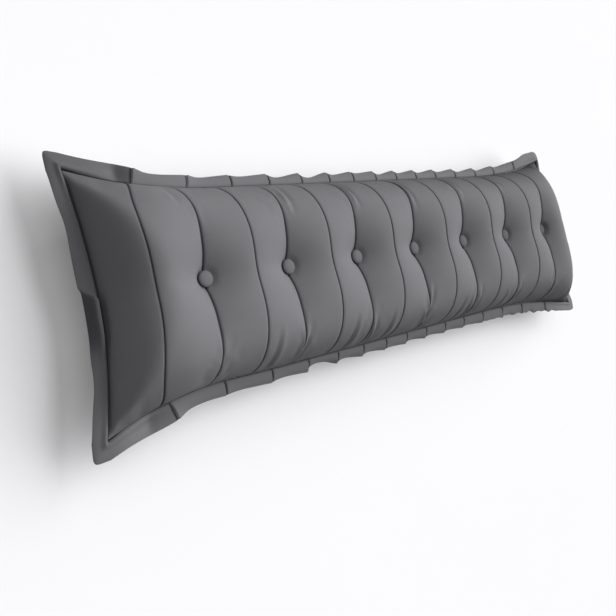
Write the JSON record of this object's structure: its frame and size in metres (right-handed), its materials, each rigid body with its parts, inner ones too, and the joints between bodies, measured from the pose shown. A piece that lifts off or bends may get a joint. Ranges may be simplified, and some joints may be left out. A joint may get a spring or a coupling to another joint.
{
  "type": "back support pillow",
  "caption": "Long filled back support pillow: strip-seamed crowned face drawn in by covered buttons, plain back, and a tucked border sewn round the edge.",
  "frame": {"origin": "bottom centre of the pillow, in the flat patch of its back that rests on the surface", "axes": "+X along the length, to the right when looking at the face, +Y up the height, +Z out of the face"},
  "size_m": [1.6225, 0.5256, 0.1981],
  "materials": {
    "pillow_cloth": "smooth mid-grey cloth with a soft satin sheen",
    "border_cloth": "the same cloth, doubled",
    "button_cloth": "the same cloth, drawn tight over a button shell"
  },
  "bodies": {
    "root": {"pillow_body": "pillow_cloth", "border": "border_cloth", "button_1": "button_cloth", "button_2": "button_cloth", "button_3": "button_cloth", "button_4": "button_cloth", "button_5": "button_cloth", "button_6": "button_cloth", "button_7": "button_cloth"}
  },
  "joints": []
}
